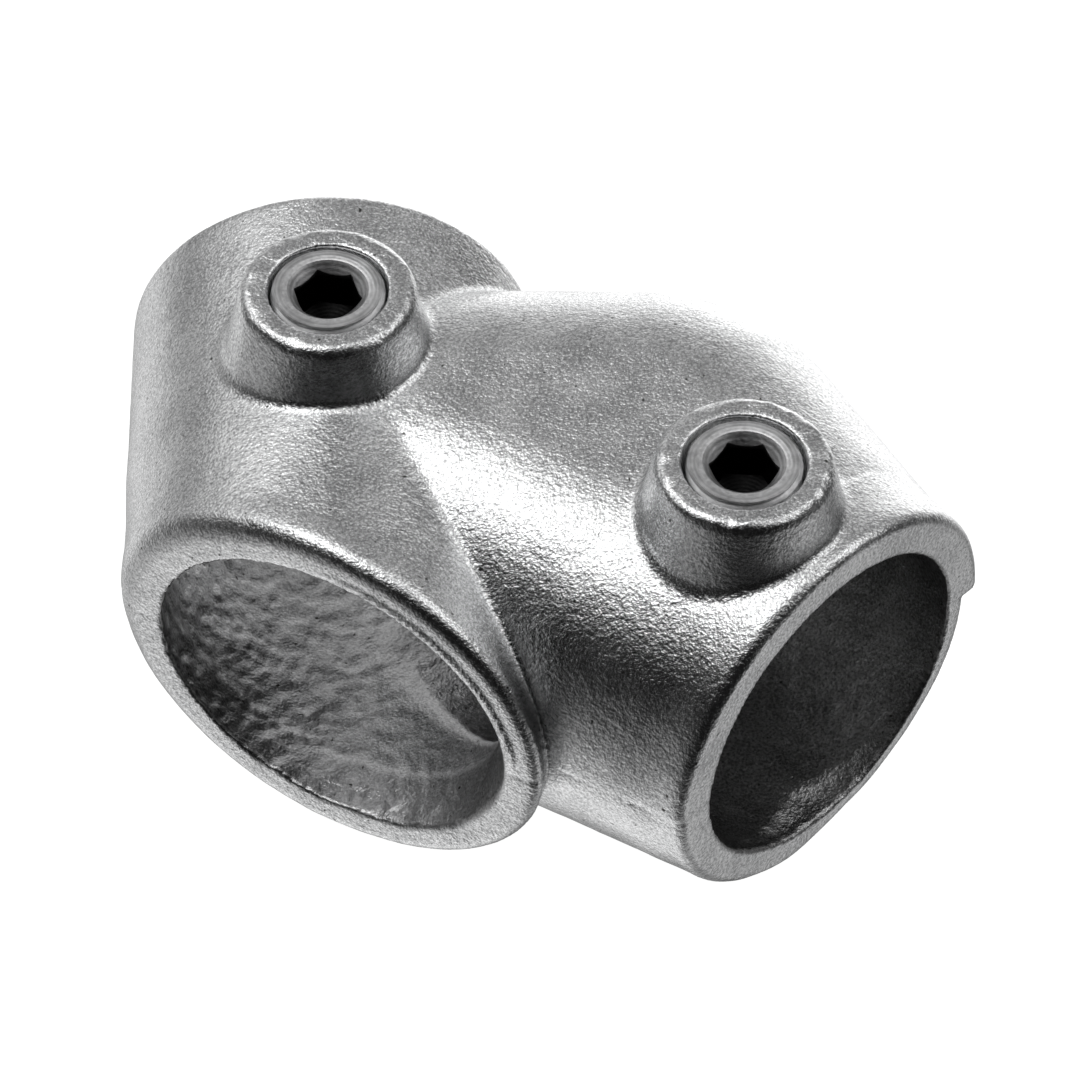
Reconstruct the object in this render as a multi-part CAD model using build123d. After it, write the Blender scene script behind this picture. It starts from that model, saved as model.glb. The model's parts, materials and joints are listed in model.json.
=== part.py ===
"""Adjustable single-socket tee: a malleable-iron clamp that holds one scaffold tube at 30 to 60 degrees
to another. It is one hollow casting and two hexagon-socket set screws. Millimetres, +Z up.

The origin is the centre of the through ring's square end. The ring's bore runs along Y, and +Y points
out of that end. The branch tube swings in the XY plane, so the socket is a fan with flat top and bottom.
"""

import os
from math import cos, radians, sin, tan

from build123d import *

# Tubes and bores
BORE_R = 24.6  # passes a 48.3 mm tube with room for zinc and a little bend
SOCKET_R = 24.4  # hollow that the branch tube swings in
RING_R = 30.4  # outside of the through ring
FAN_R = 30.2  # outside of the branch, half its height
RELIEF_R = 25.1  # cast clearance between the ring's two collars

# Through ring, measured back from its square end
RING_SCREW_Y = -28.7
RING_MOUTH_Y = -71.7  # where the slanted mouth crosses the bore's axis
END_COLLAR = 8.2
MOUTH_COLLAR = 8.7

# Branch socket. Directions are degrees about Z, counted from +X
WIDE_ANGLE = -30.0  # branch tube at 60 degrees to the ring
NARROW_ANGLE = -60.0  # branch tube at 30 degrees to the ring
MIDDLE_ANGLE = (WIDE_ANGLE + NARROW_ANGLE) / 2
PIVOT = Vector(72.2, -74.0)  # centre of the socket's mouth, which the tube swings about
FAN_BACK_Y = -33.3  # the line of centres along the back of the fan
BACK_CORNER_CUT = 2.0
LAND_R = 25.3
LAND_LENGTH = 3.0
BRANCH_SCREW = Vector(58.6, -62.7)

# Rims of the two mouths
RING_RIM_R = 31.0
RING_RIM_WIDTH = 5.0
SOCKET_RIM_R = 31.1
SOCKET_RIM_WIDTH = 3.5
SOCKET_NECK_R = 29.6
SOCKET_NECK_DEPTH = 11.0
RING_RIM_ROUND = 2.8
SOCKET_RIM_ROUND = 2.0
RIM_BACK_ROUND = 1.2
END_ROUND = 1.4

# Screw bosses
BOSS_TOP_Z = 39.8
BOSS_TOP_R = 12.6
BOSS_TAPER = 12.0  # degrees that its side leans in
BOSS_BASE_Z = 20.0  # buried in the wall, so the side runs down to the curved skin all round
BOSS_ROUND = 1.3

# Set screws, 3/8 inch pipe thread drawn at its major diameter
SCREW_R = 8.33
SCREW_CLEARANCE = 0.06
SCREW_FACE_Z = 39.8
SCREW_TIP_Z = 25.6
SCREW_CHAMFER = 0.6
TIP_CHAMFER = 1.6
CUP_R = 4.6
CUP_DEPTH = 1.6
HEX_ACROSS_FLATS = 8.8
RING_HEX_TURN = -12.0
BRANCH_HEX_TURN = -5.0
HEX_DEPTH = 7.6
HEX_LEAD_R = 5.9
HEX_LEAD_DEPTH = 1.5


def heading(angle):
    """Unit vector in the XY plane at this angle from +X."""
    return Vector(cos(radians(angle)), sin(radians(angle)))


def on_line(start, angle, x):
    """The point of a line in the XY plane that has this x."""
    step = heading(angle)
    return start + step * ((x - start.X) / step.X)


def along(point, angle, distance=0.0):
    """A plane square to this heading, a distance along it, with local Y up."""
    side = heading(angle + 90)
    return Plane(origin=point + heading(angle) * distance, x_dir=side, z_dir=heading(angle))


def rod(point, angle, radius, start, end, end_radius=None):
    """A cylinder or cone along a heading, between two distances from a point."""
    length = end - start
    if end_radius is None:
        solid = Cylinder(radius, length, align=(Align.CENTER, Align.CENTER, Align.MIN))
    else:
        solid = Cone(radius, end_radius, length, align=(Align.CENTER, Align.CENTER, Align.MIN))
    return along(point, angle, start) * solid


def slab(point, angle, start, end):
    """Everything between two planes square to a heading."""
    reach = 300.0
    block = Box(reach, reach, end - start, align=(Align.CENTER, Align.CENTER, Align.MIN))
    return along(point, angle, start) * block


def fan_centres():
    """Outline of the places that the branch tube's axis sweeps, anticlockwise."""
    ring_side = on_line(PIVOT, WIDE_ANGLE, 0.0)
    to_back = (FAN_BACK_Y - PIVOT.Y) / heading(NARROW_ANGLE).Y
    corner = PIVOT + heading(NARROW_ANGLE) * to_back
    before = corner - Vector(BACK_CORNER_CUT, 0)
    after = corner + heading(NARROW_ANGLE) * BACK_CORNER_CUT
    return [ring_side, PIVOT, after, before]


def fan(radius):
    """The fan that a cylinder sweeps: flat above and below its centres, half-round along each side."""
    centres = fan_centres()
    solid = extrude(make_face(Polyline(*centres, close=True)), radius, both=True)
    half_disc = Circle(radius) & Rectangle(radius, 2 * radius, align=(Align.MIN, Align.CENTER))
    sides = []
    for start, end in zip(centres, centres[1:] + centres[:1]):
        run = end - start
        outward = Vector(run.Y, -run.X).normalized()
        sides.append((start, run, outward))
    for start, run, outward in sides:
        side = Plane(origin=start, x_dir=outward, z_dir=run) * half_disc
        solid += extrude(side, run.length)
    for (_, run, outward), (corner, next_run, _) in zip(sides[1:-1], sides[2:]):
        side = Plane(origin=corner, x_dir=outward, z_dir=run) * half_disc
        turn = run.get_angle(next_run)
        solid += revolve(side, Axis((corner.X, corner.Y, 0), (0, 0, 1)), turn)
    return solid


def round_rim(solid, plane, radius):
    """Round the outer edge of a rim that lies in this plane."""
    edges = [e for e in solid.edges() if abs(plane.to_local_coords(e.center()).Z) < 0.01]
    return fillet(edges, radius)


def through_ring():
    """Outside of the ring: a tube square at one end and cut at the other along the wide branch heading."""
    mouth_angle = WIDE_ANGLE - 90
    mouth = Vector(0, RING_MOUTH_Y)
    length = 2 * abs(RING_MOUTH_Y)
    ring = rod(Vector(0, 0), -90, RING_R, 0, length) - slab(mouth, mouth_angle, 0, length)
    ring = fillet(ring.edges().group_by(Axis.Y)[-1], END_ROUND)
    ring = round_rim(ring, along(mouth, mouth_angle), RING_RIM_ROUND)
    rim = rod(Vector(0, 0), -90, RING_RIM_R, 0, length) & slab(mouth, mouth_angle, -RING_RIM_WIDTH, 0)
    rim = round_rim(rim, along(mouth, mouth_angle), RING_RIM_ROUND)
    rim = round_rim(rim, along(mouth, mouth_angle, -RING_RIM_WIDTH), RIM_BACK_ROUND)
    return ring + rim


def branch():
    """Outside of the socket: the fan cut off at its mouth, with a flared rim."""
    behind = slab(PIVOT, MIDDLE_ANGLE, -200, 0)
    flare_end = -SOCKET_RIM_WIDTH
    flare = rod(PIVOT, MIDDLE_ANGLE, SOCKET_NECK_R, -SOCKET_NECK_DEPTH, flare_end, SOCKET_RIM_R)
    rim = rod(PIVOT, MIDDLE_ANGLE, SOCKET_RIM_R, flare_end, 0)
    rim = round_rim(rim, along(PIVOT, MIDDLE_ANGLE), SOCKET_RIM_ROUND)
    return (fan(FAN_R) & behind) + flare + rim


def boss(point):
    """A coned screw boss with a rounded top edge."""
    height = BOSS_TOP_Z - BOSS_BASE_Z
    base = BOSS_TOP_R + height * tan(radians(BOSS_TAPER))
    cone = Cone(base, BOSS_TOP_R, height, align=(Align.CENTER, Align.CENTER, Align.MIN))
    cone = fillet(cone.edges().group_by(Axis.Z)[-1], BOSS_ROUND)
    return Pos(point.X, point.Y, BOSS_BASE_Z) * cone


def hollows():
    """Everything cored or machined out of the casting."""
    mouth_angle = WIDE_ANGLE - 90
    mouth = Vector(0, RING_MOUTH_Y)
    bore = rod(Vector(0, 0), -90, BORE_R, -10, 120)
    relief = rod(Vector(0, 0), -90, RELIEF_R, END_COLLAR, 120)
    relief -= slab(mouth, mouth_angle, -MOUTH_COLLAR, 200)
    land = rod(PIVOT, MIDDLE_ANGLE, LAND_R, -LAND_LENGTH, 10)
    cuts = bore + relief + (fan(SOCKET_R) & slab(PIVOT, MIDDLE_ANGLE, -200, -0.5)) + land
    for point in (Vector(0, RING_SCREW_Y), BRANCH_SCREW):
        hole = Cylinder(SCREW_R + SCREW_CLEARANCE, 60, align=(Align.CENTER, Align.CENTER, Align.MIN))
        cuts += Pos(point.X, point.Y, 0) * hole
    return cuts


def cast_body():
    """The single casting, with both bores, both mouths and both bosses."""
    outside = through_ring() + branch()
    outside += boss(Vector(0, RING_SCREW_Y))
    outside += boss(BRANCH_SCREW)
    return outside - hollows()


def set_screw(point, hex_turn):
    """A headless cup-point screw, standing on its tip, with its hexagon socket at this angle."""
    length = SCREW_FACE_Z - SCREW_TIP_Z
    base = (Align.CENTER, Align.CENTER, Align.MIN)
    top = (Align.CENTER, Align.CENTER, Align.MAX)
    blank = Cylinder(SCREW_R, length, align=base)
    blank = chamfer(blank.edges().group_by(Axis.Z)[-1], SCREW_CHAMFER)
    blank = chamfer(blank.edges().group_by(Axis.Z)[0], TIP_CHAMFER)
    hexagon = RegularPolygon(HEX_ACROSS_FLATS / 2, 6, major_radius=False)
    socket = Pos(0, 0, length) * Rot(0, 0, hex_turn) * extrude(hexagon, -HEX_DEPTH)
    lead = Pos(0, 0, length) * Cone(
        HEX_LEAD_R - HEX_LEAD_DEPTH, HEX_LEAD_R, HEX_LEAD_DEPTH, align=top
    )
    cup = Cone(CUP_R, CUP_R - CUP_DEPTH, CUP_DEPTH, align=base)
    screw = blank - socket - lead - cup
    return Pos(point.X, point.Y, SCREW_TIP_Z) * screw


NODES = {
    "cast_body": cast_body(),
    "ring_set_screw": set_screw(Vector(0, RING_SCREW_Y), RING_HEX_TURN),
    "branch_set_screw": set_screw(BRANCH_SCREW, BRANCH_HEX_TURN),
}

os.makedirs("parts", exist_ok=True)
for name, shape in NODES.items():
    export_step(shape, f"parts/{name}.step")
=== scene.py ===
"""Looks for the adjustable tube clamp tee: a refined zinc-coated casting and two threaded set screws."""

import json
from math import cos, log, pi, radians, sin

import bpy
import numpy as np
import openvdb
from mathutils import Matrix, Vector


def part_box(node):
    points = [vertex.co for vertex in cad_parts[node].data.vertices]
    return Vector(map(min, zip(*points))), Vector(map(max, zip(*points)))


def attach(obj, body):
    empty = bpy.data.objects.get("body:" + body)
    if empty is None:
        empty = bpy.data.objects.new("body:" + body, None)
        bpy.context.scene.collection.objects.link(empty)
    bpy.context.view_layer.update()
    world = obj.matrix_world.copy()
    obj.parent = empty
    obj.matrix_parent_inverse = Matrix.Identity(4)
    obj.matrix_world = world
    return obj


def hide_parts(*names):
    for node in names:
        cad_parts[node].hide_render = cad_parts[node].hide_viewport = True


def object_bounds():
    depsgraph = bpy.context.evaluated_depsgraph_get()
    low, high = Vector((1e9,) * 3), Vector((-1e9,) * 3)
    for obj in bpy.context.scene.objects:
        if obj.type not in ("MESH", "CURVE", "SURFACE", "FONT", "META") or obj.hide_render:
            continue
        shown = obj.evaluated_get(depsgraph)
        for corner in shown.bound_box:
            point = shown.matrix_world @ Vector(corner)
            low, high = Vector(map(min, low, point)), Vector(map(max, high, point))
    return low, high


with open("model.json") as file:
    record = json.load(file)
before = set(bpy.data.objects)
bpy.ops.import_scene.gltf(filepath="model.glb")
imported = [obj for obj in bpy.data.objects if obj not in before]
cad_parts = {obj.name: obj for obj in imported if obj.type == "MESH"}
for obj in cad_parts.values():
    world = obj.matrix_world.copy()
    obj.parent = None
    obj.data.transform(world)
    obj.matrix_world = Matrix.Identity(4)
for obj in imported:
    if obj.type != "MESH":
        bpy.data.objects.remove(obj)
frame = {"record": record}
cad_low, cad_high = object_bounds()

MM = 0.001

# ---------------------------------------------------------------- where things are, from the frame
mounts = {m["name"]: m for m in frame["record"]["mounts"]}
PIVOT = np.array(mounts["branch_socket"]["pos_m"]) / MM
MIDDLE = np.array(mounts["branch_socket"]["axis"])
BORE_R = mounts["through_bore"]["dims"]["r_mm"]
SCREW_NODES = ("ring_set_screw", "branch_set_screw")


def screw_place(node):
    """(x, y) of a screw's axis, its radius, and the heights of its tip and face, in millimetres."""
    low, high = (np.array(corner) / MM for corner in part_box(node))
    x, y, _ = (low + high) / 2
    return np.array([x, y]), (high[0] - low[0]) / 2, low[2], high[2]


SCREWS = [screw_place(node) for node in SCREW_NODES]
SCREW_R = SCREWS[0][1]
BOSS_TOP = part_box("cast_body")[1].z / MM
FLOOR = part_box("cast_body")[0].z

# The casting's own sizes, in millimetres
RING_R = 30.4
RING_MOUTH_Y = -71.7
RING_BACK_EDGE = 1.4
RING_MOUTH_EDGE = 2.8
RING_FLARE = 0.3
FLARE_RUN = (2.5, 8.0)
RELIEF = 0.5
END_COLLAR = 8.2
MOUTH_COLLAR = 8.7
COLLAR_STEP = 0.8
BORE_EDGE = 0.5

# The branch: the fan that it swings in, its neck from the mouth inwards, and its lower half, thin and worn
FAN_R = 30.2
FAN_BACK_Y = -33.3
BACK_CORNER_CUT = 2.0
NECK_DEPTHS = (0.0, 3.5, 11.0, 30.0)
NECK_RADII = (30.7, 30.7, 29.6, 0.0)
NECK_BLEND = 3.5
CREASE_BLEND = 0.8
SOCKET_MOUTH_EDGE = 2.0
SOCKET_R = 24.4
SWING_START = 0.5
LAND_R = 25.3
LAND_TAPER = (1.0, 7.0)
LAND_END = 12
CREST_BLEND = 1.6
LOWER_THIN = (0.8, 1.7)
PARTING_STEP = 0.4
WORN_SIDE = (-10.0, 6.0)
WORN_EDGE = 1.6
WORN_SKIN = 0.3
THIN_RUN = (2.0, 9.0)

# The two bosses and their holes, the ring's first
BOSS_TOP_R = 12.6
BOSS_TAPER = radians(12)
BOSS_EDGE = 1.5
BOSS_BLENDS = (1.3, 1.4)
BOSS_ROOT_Z = 20
HOLE_CLEARANCE = 0.15
HOLE_GAPS = (0.35, 0.5)
HOLE_FLARE_RUN = (5.0, 1.5)
HOLE_EDGE = 0.35
HOLE_ROOT_Z = 8

# The grid that the casting's surface is found on, in millimetres
VOXEL = 0.5
GRID_MARGIN = 2.17  # odd, so that no flat face or bore falls exactly on the grid's points
FAR = 20


def heading(degrees):
    """Unit vector in the XY plane at this angle from +X."""
    return np.array([cos(radians(degrees)), sin(radians(degrees))])


WIDE, NARROW, ACROSS = heading(-30), heading(-60), heading(45)
MOUTH_NORMAL = heading(-120)


# ---------------------------------------------------------------- mesh helpers
def new_object(name, points, faces, smooth=True):
    """A mesh object from points in metres and lists of corners."""
    mesh = bpy.data.meshes.new(name)
    mesh.from_pydata([tuple(p) for p in points], [], [tuple(f) for f in faces])
    mesh.validate()
    mesh.polygons.foreach_set("use_smooth", [smooth] * len(mesh.polygons))
    obj = bpy.data.objects.new(name, mesh)
    bpy.context.scene.collection.objects.link(obj)
    return obj


def points_of(mesh):
    points = np.zeros(len(mesh.vertices) * 3)
    mesh.vertices.foreach_get("co", points)
    return points.reshape(-1, 3)


def normals_of(mesh):
    normals = np.zeros(len(mesh.vertices) * 3, np.float32)
    mesh.vertex_normals.foreach_get("vector", normals)
    return normals.reshape(-1, 3).astype(float)


def put_points(mesh, points):
    mesh.vertices.foreach_set("co", points.astype(np.float32).ravel())
    mesh.update()


def lathe(name, columns, profile):
    """A closed solid of revolution whose profile may change round the axis.

    profile(angle) gives a list of (radius, height) in millimetres, and the first and last radius are 0.
    """
    rings = np.array([profile(2 * pi * k / columns) for k in range(columns)])
    rows = rings.shape[1]
    points, faces = [(0, 0, rings[0, 0, 1])], []
    for row in range(1, rows - 1):
        for column in range(columns):
            radius, height = rings[column, row]
            angle = 2 * pi * column / columns
            points.append((radius * cos(angle), radius * sin(angle), height))
    points.append((0, 0, rings[0, -1, 1]))
    last = len(points) - 1
    for column in range(columns):
        after = (column + 1) % columns
        faces.append((0, 1 + after, 1 + column))
        for row in range(rows - 3):
            base = 1 + row * columns
            faces.append((base + column, base + after, base + columns + after, base + columns + column))
        base = 1 + (rows - 3) * columns
        faces.append((base + column, base + after, last))
    return new_object(name, np.array(points) * MM, faces)


# Grain is laid out on a turned grid, so that its rows don't follow the casting's straight edges
GRAIN_CELLS = 40
GRAIN_TURN = 0.9
GRAIN_AXIS = (0.36, 0.48, 0.8)


def grain(points, size, seed):
    """Smooth noise from -1 to 1 at points in millimetres, with lumps of this size."""
    count = GRAIN_CELLS
    table = np.random.default_rng(seed).uniform(-1, 1, (count, count, count))
    turn = np.array(Matrix.Rotation(GRAIN_TURN, 3, GRAIN_AXIS))
    place = points @ turn.T / size
    cell = np.floor(place).astype(int)
    part = place - cell
    part = part * part * (3 - 2 * part)
    total = 0
    for corner in np.ndindex(2, 2, 2):
        share = np.prod(np.where(corner, part, 1 - part), axis=1)
        total = total + share * table[tuple(((cell + corner) % count).T)]
    return total


def fade(values, low, high):
    """0 below low, 1 above high, and smooth between."""
    t = np.clip((values - low) / (high - low), 0, 1)
    return t * t * (3 - 2 * t)


# ---------------------------------------------------------------- the casting as a distance field
def rounded_union(a, b, radius):
    """Join two solids, with a concave corner of this radius."""
    corner = np.hypot(np.maximum(radius - a, 0), np.maximum(radius - b, 0))
    return np.maximum(radius, np.minimum(a, b)) - corner


def rounded_overlap(a, b, radius):
    """Keep what two solids share, with a convex edge of this radius."""
    corner = np.hypot(np.maximum(radius + a, 0), np.maximum(radius + b, 0))
    return np.minimum(-radius, np.maximum(a, b)) + corner


def fan_distance(x, y):
    """Distance in the XY plane to the places that the branch tube's axis sweeps, 0 inside them."""
    pivot = PIVOT[:2]
    ring_side = pivot - WIDE * pivot[0] / WIDE[0]
    corner = pivot + NARROW * (FAN_BACK_Y - pivot[1]) / NARROW[1]
    outline = np.array([ring_side, pivot, corner + NARROW * BACK_CORNER_CUT, corner - [BACK_CORNER_CUT, 0]])
    nearest, inside = np.inf, True
    for start, end in zip(outline, np.roll(outline, -1, axis=0)):
        run = end - start
        share = np.clip(((x - start[0]) * run[0] + (y - start[1]) * run[1]) / (run @ run), 0, 1)
        away = np.hypot(x - start[0] - share * run[0], y - start[1] - share * run[1])
        nearest = np.minimum(nearest, away)
        inside = inside & ((x - start[0]) * run[1] - (y - start[1]) * run[0] <= 0)
    return np.where(inside, 0, nearest)


class Where:
    """The distances that shape the casting, at any array of points, in millimetres."""

    def __init__(self, x, y, z):
        self.y, self.z = y, z
        self.ring = np.hypot(x, z)
        self.ring_depth = -(x * MOUTH_NORMAL[0] + (y - RING_MOUTH_Y) * MOUTH_NORMAL[1])
        self.fan = np.hypot(fan_distance(x, y), z)
        self.depth = -((x - PIVOT[0]) * MIDDLE[0] + (y - PIVOT[1]) * MIDDLE[1])
        self.side = (x - PIVOT[0]) * ACROSS[0] + (y - PIVOT[1]) * ACROSS[1]
        self.socket = np.hypot(self.side, z)
        self.bosses = [np.hypot(x - place[0], y - place[1]) for place, *_ in SCREWS]

    def outside(self):
        """The casting without its bores."""
        flare = RING_FLARE * (1 - fade(self.ring_depth, *FLARE_RUN))
        ring = rounded_overlap(self.ring - RING_R - flare, -self.ring_depth, RING_MOUTH_EDGE)
        ring = rounded_overlap(ring, self.y, RING_BACK_EDGE)
        neck = self.socket - np.interp(self.depth, NECK_DEPTHS, NECK_RADII)
        lower = fade(-self.z, -PARTING_STEP, PARTING_STEP)
        worn = lower * fade(self.side, *WORN_SIDE)
        thin = (LOWER_THIN[0] * lower + LOWER_THIN[1] * worn) * (1 - fade(self.depth, *THIN_RUN))
        thin = thin + WORN_SKIN * worn
        branch = rounded_union(self.fan - FAN_R, neck, NECK_BLEND) + thin
        branch = rounded_overlap(branch, -self.depth, SOCKET_MOUTH_EDGE + WORN_EDGE * worn)
        solid = rounded_union(ring, branch, CREASE_BLEND)
        for distance, blend in zip(self.bosses, BOSS_BLENDS):
            slope = (distance - BOSS_TOP_R) * cos(BOSS_TAPER) + (self.z - BOSS_TOP) * sin(BOSS_TAPER)
            boss = rounded_overlap(slope, self.z - BOSS_TOP, BOSS_EDGE)
            solid = rounded_union(solid, np.maximum(boss, BOSS_ROOT_Z - self.z), blend)
        return solid

    def hollow(self):
        """Both bores, with the room in which the branch tube's end swings."""
        step = fade(-self.y, END_COLLAR - COLLAR_STEP, END_COLLAR + COLLAR_STEP)
        step = step * fade(self.ring_depth, MOUTH_COLLAR - COLLAR_STEP, MOUTH_COLLAR + COLLAR_STEP)
        bore = self.ring - BORE_R - RELIEF * step
        swing = np.maximum(self.fan - SOCKET_R, SWING_START - self.depth)
        land = self.socket - LAND_R + (LAND_R - SOCKET_R) * fade(self.depth, *LAND_TAPER)
        land = np.where(self.depth < LAND_END, land, FAR)
        return rounded_union(bore, np.minimum(swing, land), CREST_BLEND)

    def holes(self):
        """The two screw holes, each a little wider at the top."""
        walls = []
        for distance, gap in zip(self.bosses, HOLE_GAPS):
            start, end = (BOSS_TOP - below for below in HOLE_FLARE_RUN)
            widening = (gap - HOLE_CLEARANCE) * fade(self.z, start, end)
            wall = SCREW_R + HOLE_CLEARANCE + widening
            walls.append(np.maximum(distance - wall, HOLE_ROOT_Z - self.z))
        return np.minimum(*walls)

    def solid(self):
        body = rounded_overlap(self.outside(), -self.hollow(), BORE_EDGE)
        return rounded_overlap(body, -self.holes(), HOLE_EDGE)


def field_mesh(voxel):
    """Points in millimetres and quads of the casting's surface."""
    low, high = (np.array(corner) / MM for corner in (cad_low, cad_high))
    x, y, z = (np.arange(a - GRID_MARGIN, b + GRID_MARGIN, voxel) for a, b in zip(low, high))
    distance = Where(x[:, None, None], y[None, :, None], z[None, None, :]).solid()
    grid = openvdb.FloatGrid(1.0)
    grid.copyFromArray(np.ascontiguousarray(np.clip(distance / voxel, -3, 3), dtype=np.float32))
    points, quads = grid.convertToQuads(0.0)
    return np.array(points) * voxel + [x[0], y[0], z[0]], np.array(quads)[:, ::-1]


# Layers of noise on the skin: height and lump size in millimetres, and the seed
CALM_SKIN = ((0.10, 11.0, 1), (0.035, 3.2, 2), (0.02, 1.5, 3))
CORE_WAVES = ((0.12, 8.0, 4),)
CORE_LUMPS = ((0.17, 2.6, 5), (0.17, 1.5, 6), (0.07, 1.0, 16))
DRESSED_SKIN = ((0.05, 9.0, 7), (0.015, 1.6, 8))
RAGGED_FACE = ((0.16, 2.2, 9), (0.12, 1.2, 10))
PIT_DEPTH = 0.22
SEAM_WIDTH = 0.45
SEAM_HEIGHT = 0.10
SEAM_WAVER = 0.12
BEAD_WIDTH = 0.5
BEAD_HEIGHT = 0.4
LAP_OFFSET = 1.5
LAP_WIDTH = 0.28
LAP_DEPTH = 0.55


def layers(points, kinds):
    """The sum of some layers of noise."""
    return sum(height * grain(points, size, seed) for height, size, seed in kinds)


def ridge(distance, width):
    """1 where this distance is 0, and next to nothing beyond twice this width."""
    return np.exp(-(distance / width) ** 2)


def relief(points, at, inside, rim, boss_face):
    """How far the skin stands proud of the plain shape at each point, in millimetres."""
    z = points[:, 2]
    lumpy = 0.45 + 0.85 * fade(-points[:, 0] - 0.8 * z, -4, 22)
    cored = layers(points, CORE_WAVES) + lumpy * layers(points, CORE_LUMPS)
    height = layers(points, CALM_SKIN) * (1 - inside) + cored * inside

    flat = np.clip(rim + 0.8 * boss_face, 0, 1)
    height = height * (1 - flat) + layers(points, DRESSED_SKIN) * flat
    from_boss = np.minimum(*at.bosses)
    ragged = boss_face * (0.35 + 0.65 * fade(from_boss, 10.2, 11.6))
    height += ragged * layers(points, RAGGED_FACE)
    height -= PIT_DEPTH * flat * fade(grain(points, 1.0, 13), 0.55, 0.8)

    seam = ridge(z, SEAM_WIDTH) * (1 - inside)
    height += seam * (SEAM_HEIGHT + SEAM_WAVER * grain(points, 3.0, 11))
    edge = ridge(at.ring - BORE_R, BEAD_WIDTH) * (1 - fade(np.abs(at.ring_depth), 0.2, 0.8))
    edge += 0.5 * ridge(at.socket - LAND_R, BEAD_WIDTH) * (1 - fade(np.abs(at.depth), 0.2, 0.8))
    height += edge * fade(-z, 4, 14) * np.clip(grain(points, 1.5, 12), 0, 1) * BEAD_HEIGHT
    lap = ridge(at.ring - BORE_R - LAP_OFFSET, LAP_WIDTH) * fade(points[:, 0], -4, 8) * fade(z, 0, 6)
    height -= LAP_DEPTH * lap * (1 - fade(at.ring_depth, 0.4, 1.2)) * (1 - inside)

    hole = (1 - fade(from_boss, SCREW_R + 0.4, SCREW_R + 1.2)) * fade(z, 20, 24)
    return height * (1 - hole)


def casting(voxel):
    """The cast body as it left the zinc bath: blended corners, pebbled skin, rough bores."""
    points, quads = field_mesh(voxel)
    body = new_object("galvanised_casting", points * MM, quads)
    mesh = body.data
    points, normals = points_of(mesh) / MM, normals_of(mesh)
    at = Where(*points.T)
    inside = fade(-at.outside() - at.hollow(), -0.6, 0.6)
    facing = np.maximum(normals[:, :2] @ MOUTH_NORMAL, normals[:, :2] @ MIDDLE[:2])
    rim = (1 - fade(np.minimum(at.ring_depth, at.depth), 0.2, 1.2)) * fade(facing, 0.90, 0.98)
    boss_face = fade(points[:, 2], BOSS_TOP - 1.0, BOSS_TOP - 0.3)

    points += normals * relief(points, at, inside, rim, boss_face)[:, None]
    points[:, 2] = np.maximum(points[:, 2], FLOOR / MM)
    put_points(mesh, points * MM)

    low_side = fade(-points[:, 2], -16, 4)
    film = rim * (low_side + (1 - low_side) * 0.5 * fade(grain(points, 2.0, 14), -0.3, 0.4))
    film *= 0.88 + 0.12 * grain(points, 2.5, 15)
    # Painted shade: darker zinc deep in the branch socket and on the ring bore's left wall near its mouth,
    # where the bores fall into shade
    deep_in_ring = fade(-points[:, 0], 6, 18) * (1 - fade(at.ring_depth, 9, 17))
    bore_shade = inside * np.maximum(1 - fade(at.depth, 24, 42), deep_in_ring)
    rim = np.maximum(rim, 0.25 * boss_face)
    for name, value in (("inside", inside), ("rim", rim), ("film", film), ("bore_shade", bore_shade)):
        mesh.attributes.new(name, "FLOAT", "POINT").data.foreach_set("value", value.astype(np.float32))
    return body


# ---------------------------------------------------------------- the set screws
SCREW_COLUMNS = 96
ROWS_PER_PITCH = 12
THREAD_PITCH = 1.337
THREAD_DEPTH = 0.75
HEX_APOTHEM = 4.4
HEX_TURNS = (radians(-12), radians(-5))
HEX_DEPTH = 7.6
HEX_LEAD_R = 5.9
LEAD_SLOPE = 1.0
DISH_R = 6.6
DISH_DEPTH = 0.12
FACE_CHAMFER = 0.6
TIP_CHAMFER = 1.6
CUP_R = 4.6
CUP_DEPTH = 1.6


def set_screw(name, place, radius, tip, face, turn):
    """A headless screw with a real helical thread, a chamfered hexagon socket and a cup point."""
    heights = np.arange(tip, face, THREAD_PITCH / ROWS_PER_PITCH)

    def shank(angle, z):
        turns = (z - tip) / THREAD_PITCH - angle / (2 * pi)
        crest = radius - THREAD_DEPTH * (0.5 - 0.5 * cos(2 * pi * turns))
        return min(crest, radius - FACE_CHAMFER + (face - z), radius - TIP_CHAMFER + (z - tip))

    def profile(angle):
        flat = HEX_APOTHEM / cos((angle - turn) % (pi / 3) - pi / 6)
        dish = face - DISH_DEPTH
        lead = dish - (HEX_LEAD_R - flat) * LEAD_SLOPE
        rows = [(0, tip + CUP_DEPTH), (CUP_R * 0.5, tip + CUP_DEPTH * 0.7), (CUP_R, tip)]
        rows += [(shank(angle, z), z) for z in heights]
        rows += [(radius - FACE_CHAMFER, face), (DISH_R, face), (HEX_LEAD_R, dish)]
        rows += [(flat + (HEX_LEAD_R - flat) * 0.5, (dish + lead) / 2), (flat, lead)]
        rows += [(flat, lead * 0.5 + (face - HEX_DEPTH) * 0.5), (flat, face - HEX_DEPTH)]
        rows += [(HEX_APOTHEM * 0.9, face - HEX_DEPTH - 0.2), (0, face - HEX_DEPTH - 1.6)]
        return rows

    screw = lathe(name, SCREW_COLUMNS, profile)
    screw.data.transform(Matrix.Translation((place[0] * MM, place[1] * MM, 0)))
    screw.data.set_sharp_from_angle(angle=radians(35))
    return screw


# ---------------------------------------------------------------- materials
def math_node(tree, operation, a, b=0.0):
    """The output of a Math node whose inputs are numbers or other nodes' outputs."""
    node = tree.nodes.new("ShaderNodeMath")
    node.operation = operation
    for socket, value in zip(node.inputs, (a, b)):
        if isinstance(value, (int, float)):
            socket.default_value = value
        else:
            tree.links.new(value, socket)
    return node.outputs[0]


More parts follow.
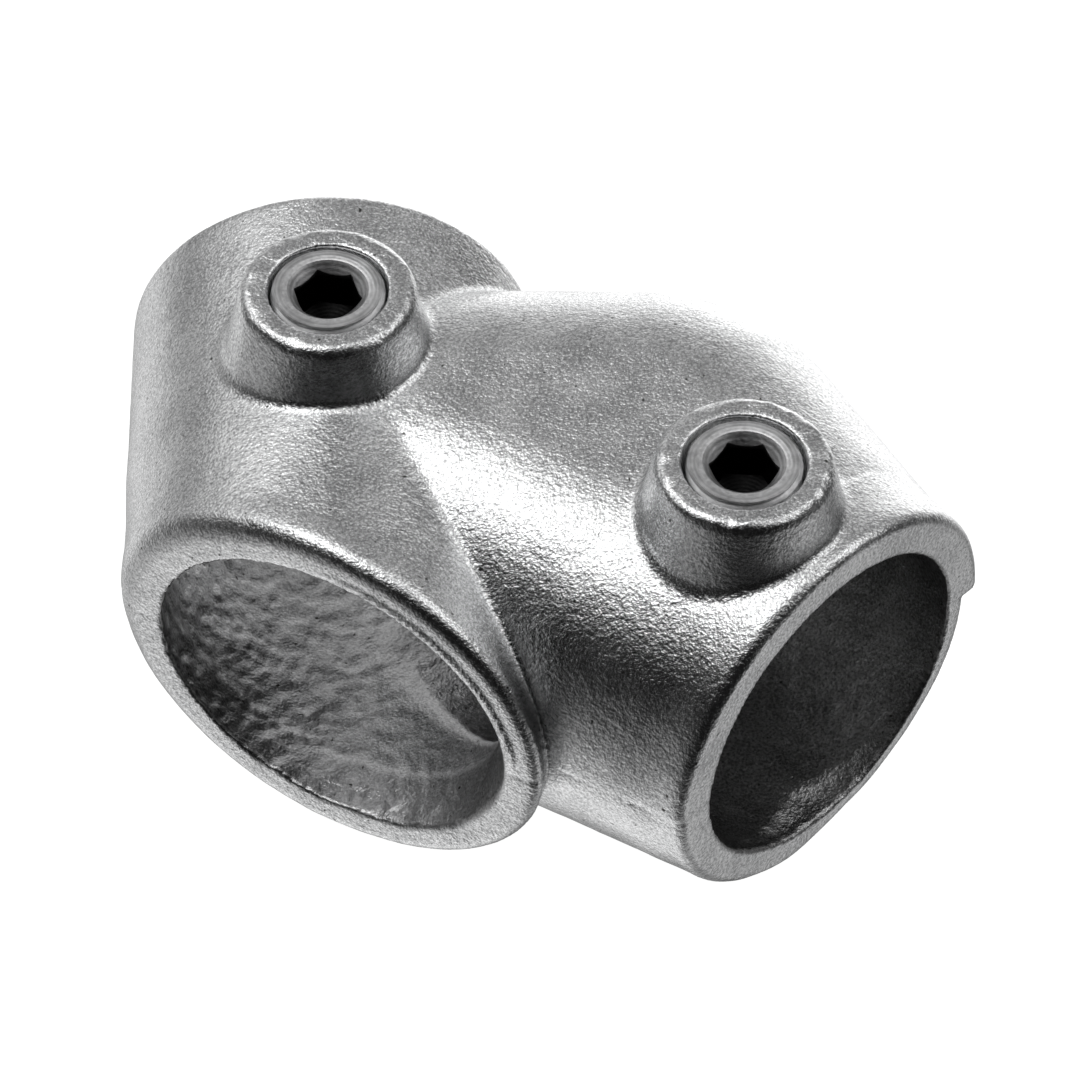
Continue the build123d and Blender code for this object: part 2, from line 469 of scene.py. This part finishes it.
class Nodes:
    """Short ways to add shader nodes to one material."""

    def __init__(self, name):
        self.material = bpy.data.materials.new(name)
        self.material.use_nodes = True
        self.tree = self.material.node_tree
        self.shader = self.tree.nodes["Principled BSDF"]
        self.place = self.add("ShaderNodeTexCoord").outputs["Object"]

    def add(self, kind, **settings):
        """A new node, with its properties or its inputs set by name."""
        node = self.tree.nodes.new(kind)
        for key, value in settings.items():
            if key in node.bl_rna.properties:
                setattr(node, key, value)
            else:
                node.inputs[key].default_value = value
        return node

    def link(self, output, socket):
        self.tree.links.new(output, socket)

    def noise(self, size_mm, detail=2.0, rough=0.5):
        """Noise with lumps of this size."""
        node = self.add("ShaderNodeTexNoise", Scale=1 / (size_mm * MM), Detail=detail, Roughness=rough)
        self.link(self.place, node.inputs["Vector"])
        return node.outputs["Fac"]

    def attribute(self, name):
        return self.add("ShaderNodeAttribute", attribute_name=name).outputs["Fac"]

    def span(self, value, low, high, to_low=0.0, to_high=1.0):
        """Map a value from one range to another, clamped."""
        node = self.add("ShaderNodeMapRange")
        node.inputs["From Min"].default_value, node.inputs["From Max"].default_value = low, high
        node.inputs["To Min"].default_value, node.inputs["To Max"].default_value = to_low, to_high
        self.link(value, node.inputs["Value"])
        return node.outputs["Result"]

    def math(self, operation, a, b=0.0):
        return math_node(self.tree, operation, a, b)

    def weighted(self, a, share_a, b, share_b):
        """The sum of two values, each times its share."""
        return self.math("ADD", self.math("MULTIPLY", a, share_a), self.math("MULTIPLY", b, share_b))

    def mix(self, a, b, share):
        """Colour a where the share is 0 and colour b where it is 1."""
        node = self.add("ShaderNodeMix", data_type="RGBA")
        for value, socket in ((a, node.inputs["A"]), (b, node.inputs["B"])):
            if isinstance(value, tuple):
                socket.default_value = value
            else:
                self.link(value, socket)
        self.link(share, node.inputs["Factor"])
        return node.outputs["Result"]

    def ramp(self, value, low, high):
        """A colour ramp between two stops, each a position and a colour."""
        node = self.add("ShaderNodeValToRGB")
        for element, (position, colour) in zip(node.color_ramp.elements, (low, high)):
            element.position = position
            element.color = (*colour, 1)
        self.link(value, node.inputs["Fac"])
        return node.outputs["Color"]

    def bump(self, height_mm):
        node = self.add("ShaderNodeBump", Strength=1.0, Distance=MM)
        self.link(height_mm, node.inputs["Height"])
        return node.outputs["Normal"]


# The zinc: grain sizes and heights in millimetres, then each kind of skin as two (tone, colour) stops
PATCH_SIZE = 8.0
PEBBLE_SIZE = 1.0
FINE_SIZE = 0.42
SPECK_SIZE = 0.8
SPECK_RANGE = (0.815, 0.85)
PATCH_SHARE = 0.25
PEBBLE_HEIGHT = 0.11
FINE_HEIGHT = 0.12
CALM_RIM = 0.05
ROUGHNESS = (0.19, 0.25)
DULLING = 0.2
FILM_METALLIC = 0.12
BRIGHT_ZINC = (0.36, (0.50, 0.505, 0.51)), (0.60, (0.97, 0.975, 0.98))
PALE_FILM = (0.36, (0.93, 0.93, 0.935)), (0.62, (0.98, 0.98, 0.985))
CORED_ZINC = (0.36, (0.50, 0.50, 0.505)), (0.62, (0.88, 0.88, 0.885))
# Painted shade: the darker zinc laid where the bores fall into shade
SHADED_BORE_ZINC = (0.38, (0.22, 0.22, 0.22)), (0.62, (0.56, 0.56, 0.56))
SPECK_COLOUR = (0.10, 0.10, 0.095, 1)


def zinc():
    """Hot-dip galvanised skin: bright and pebbled, with a pale film on the rims, duller in the bores, and
    painted shade deep in the bores.
    """
    n = Nodes("galvanised_casting")
    inside, rim, film, bore_shade = (n.attribute(name) for name in ("inside", "rim", "film", "bore_shade"))
    patches = n.noise(PATCH_SIZE)
    pebbles = n.noise(PEBBLE_SIZE, 1.0)
    fine = n.noise(FINE_SIZE, 2.0, 0.6)
    tone = n.weighted(patches, PATCH_SHARE, fine, 1 - PATCH_SHARE)
    skin = n.ramp(tone, *BRIGHT_ZINC)
    # Pale film on the rims, cored zinc in the bores, then the painted shade deep in the bores
    for stops, share in ((PALE_FILM, film), (CORED_ZINC, inside), (SHADED_BORE_ZINC, bore_shade)):
        skin = n.mix(skin, n.ramp(tone, *stops), share)
    specks = n.span(n.noise(SPECK_SIZE, 0.0), *SPECK_RANGE)
    n.link(n.mix(skin, SPECK_COLOUR, specks), n.shader.inputs["Base Color"])
    dull = n.math("MAXIMUM", n.math("MULTIPLY", rim, 0.6), n.math("MULTIPLY", inside, 0.5))
    rough = n.math("ADD", n.span(patches, 0.3, 0.7, *ROUGHNESS), n.math("MULTIPLY", dull, DULLING))
    n.link(rough, n.shader.inputs["Roughness"])
    n.link(n.span(film, 0.0, 1.0, 1.0, FILM_METALLIC), n.shader.inputs["Metallic"])
    height = n.weighted(pebbles, PEBBLE_HEIGHT, fine, FINE_HEIGHT)
    height = n.math("MULTIPLY", height, n.span(rim, 0.0, 1.0, 1.0, CALM_RIM))
    n.link(n.bump(height), n.shader.inputs["Normal"])
    return n.material


# The screws' steel: its rings, its grain and the depths of the painted shade in the socket in millimetres,
# then its colours
TURNING_PITCH = 0.55
TURNING_HEIGHT = 0.006
STEEL_GRAIN_SIZE = 0.5
STEEL_GRAIN_HEIGHT = 0.03
CLOUD_SIZE = 3.0
SHADE_FROM = 0.9
SHADE_FULL = 2.2
STEEL_ROUGHNESS = (0.34, 0.48)
DULL_STEEL = (0.25, (0.46, 0.46, 0.465)), (0.55, (0.76, 0.76, 0.765))
# Painted highlight: paler steel for the light that the dished ring round the socket catches
DISH_SHEEN_STEEL = (0.3, (0.66, 0.66, 0.665)), (0.7, (0.84, 0.84, 0.845))
SOCKET_SHADE = (0.012, 0.012, 0.012, 1)


def turned_steel(name, place, face):
    """Machined steel of one screw, with rings left by the turning tool and painted shade that turns the
    deep hex socket black.
    """
    n = Nodes(name)
    apart = n.add("ShaderNodeSeparateXYZ")
    n.link(n.place, apart.inputs[0])
    x = n.math("SUBTRACT", apart.outputs["X"], float(place[0]) * MM)
    y = n.math("SUBTRACT", apart.outputs["Y"], float(place[1]) * MM)
    radius = n.math("SQRT", n.math("ADD", n.math("MULTIPLY", x, x), n.math("MULTIPLY", y, y)))
    turning = n.math("SINE", n.math("MULTIPLY", radius, 2 * pi / (TURNING_PITCH * MM)))
    fine = n.noise(STEEL_GRAIN_SIZE)
    tone = n.weighted(n.noise(CLOUD_SIZE, 3.0), 0.8, turning, 0.06)
    steel = n.ramp(tone, *DULL_STEEL)
    bright = n.ramp(fine, *DISH_SHEEN_STEEL)
    # Painted highlight: the dished ring between the lead-in and the dish's edge is given paler steel, for
    # the light it catches
    lead = n.math("MULTIPLY", n.span(radius, (DISH_R + 0.15) * MM, DISH_R * MM),
                  n.span(radius, (HEX_LEAD_R - 0.4) * MM, HEX_LEAD_R * MM))
    steel = n.mix(steel, bright, lead)
    # Painted shade: the socket goes black below the face, as its depths fall into shade
    below = n.span(apart.outputs["Z"], (face - SHADE_FROM) * MM, (face - SHADE_FULL) * MM)
    deep_shade = n.math("MULTIPLY", below, n.span(radius, (HEX_LEAD_R + 0.3) * MM, (HEX_LEAD_R + 0.1) * MM))
    n.link(n.mix(steel, SOCKET_SHADE, deep_shade), n.shader.inputs["Base Color"])
    n.link(n.span(fine, 0.3, 0.7, *STEEL_ROUGHNESS), n.shader.inputs["Roughness"])
    n.shader.inputs["Metallic"].default_value = 1.0
    height = n.weighted(fine, STEEL_GRAIN_HEIGHT, turning, TURNING_HEIGHT)
    n.link(n.bump(height), n.shader.inputs["Normal"])
    return n.material


# ---------------------------------------------------------------- put the object together
body = casting(VOXEL)
body.data.materials.append(zinc())
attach(body, "casting")
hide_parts("cast_body")

for node, carrier, turn, (place, radius, tip, face) in zip(
        SCREW_NODES, ("ring_screw", "branch_screw"), HEX_TURNS, SCREWS):
    screw = set_screw(node + "_threaded", place, radius, tip, face, turn)
    screw.data.materials.append(turned_steel(node + "_steel", place, face))
    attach(screw, carrier)
    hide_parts(node)


# ---------------------------------------------------------------- studio
# Soft light from all round: azimuth from +Y towards +X, elevation and half-width in degrees, then strength.
# The table is left out of reflections, and the lights named after it stand for it there.
SOFT_LIGHTS = {
    "overhead_box": (-70, 70, 15, 3.0),
    "left_box": (-50, 35, 18, 0.9),
    "right_box": (75, 50, 18, 1.6),
    "back_wall": (0, 15, 24, 0.35),
    "table_behind": (15, -20, 20, 1.8),
    "table_left": (-45, -30, 18, 0.9),
    "table_far_left": (-110, -35, 24, 0.35),
    "table_right": (105, -45, 24, 0.55),
    "table_below": (-100, -70, 18, 1.0),
}
DARK_ROOM = 0.006
TABLE_HALF_WIDTH = 3.0
TABLE_GREY = 0.4
TABLE_GLOW = 0.98


def studio_air():
    """Soft boxes and a white table top as smooth patches of light, in a dark room."""
    world = bpy.data.worlds.new("studio_air")
    bpy.context.scene.world = world
    world.use_nodes = True
    tree = world.node_tree
    ray = tree.nodes.new("ShaderNodeTexCoord").outputs["Generated"]
    total = DARK_ROOM
    for azimuth, elevation, half_width, strength in SOFT_LIGHTS.values():
        a, e = radians(azimuth), radians(elevation)
        narrow = log(2) / (1 - cos(radians(half_width)))
        dot = tree.nodes.new("ShaderNodeVectorMath")
        dot.operation = "DOT_PRODUCT"
        dot.inputs[1].default_value = (cos(e) * sin(a), cos(e) * cos(a), sin(e))
        tree.links.new(ray, dot.inputs[0])
        away = math_node(tree, "SUBTRACT", dot.outputs["Value"], 1.0)
        patch = math_node(tree, "EXPONENT", math_node(tree, "MULTIPLY", away, narrow))
        total = math_node(tree, "ADD", total, math_node(tree, "MULTIPLY", patch, strength))
    tree.links.new(total, tree.nodes["Background"].inputs["Color"])


def studio():
    """A table in the soft light, glowing enough to stay plain white."""
    paint = bpy.data.materials.new("white_table")
    paint.use_nodes = True
    shader = paint.node_tree.nodes["Principled BSDF"]
    shader.inputs["Base Color"].default_value = (TABLE_GREY, TABLE_GREY, TABLE_GREY, 1)
    shader.inputs["Roughness"].default_value = 1.0
    shader.inputs["Specular IOR Level"].default_value = 0.0
    shader.inputs["Emission Color"].default_value = (1, 1, 1, 1)
    shader.inputs["Emission Strength"].default_value = TABLE_GLOW
    half = TABLE_HALF_WIDTH
    corners = [(-half, -half, FLOOR), (half, -half, FLOOR), (half, half, FLOOR), (-half, half, FLOOR)]
    table = new_object("table", corners, [(0, 1, 2, 3)], smooth=False)
    table.data.materials.append(paint)
    table.visible_glossy = False
    studio_air()
    bpy.context.scene.view_settings.view_transform = "Standard"


# The camera, in degrees, metres and, for the lens, millimetres
VIEW_AZIMUTH = -1.49
VIEW_ELEVATION = 48.55
VIEW_ROLL = 0.76
VIEW_DISTANCE = 0.858
VIEW_CENTRE = (0.0305, -0.0418, 0)
SENSOR_WIDTH = 36
LENS = 194.3


def camera():
    """A long lens above the near side of the fitting."""
    azimuth, elevation, roll = radians(VIEW_AZIMUTH), radians(VIEW_ELEVATION), radians(VIEW_ROLL)
    back = Vector((sin(azimuth) * cos(elevation), -cos(azimuth) * cos(elevation), sin(elevation)))
    data = bpy.data.cameras.new("camera")
    data.sensor_width = SENSOR_WIDTH
    data.lens = LENS
    data.clip_start = 0.01
    data.clip_end = 20
    obj = bpy.data.objects.new("camera", data)
    bpy.context.scene.collection.objects.link(obj)
    obj.location = Vector(VIEW_CENTRE) + back * VIEW_DISTANCE
    turn = (-back).to_track_quat("-Z", "Y").to_matrix().to_4x4()
    obj.rotation_euler = (turn @ Matrix.Rotation(roll, 4, "Z")).to_euler()
    bpy.context.scene.camera = obj


studio()
camera()
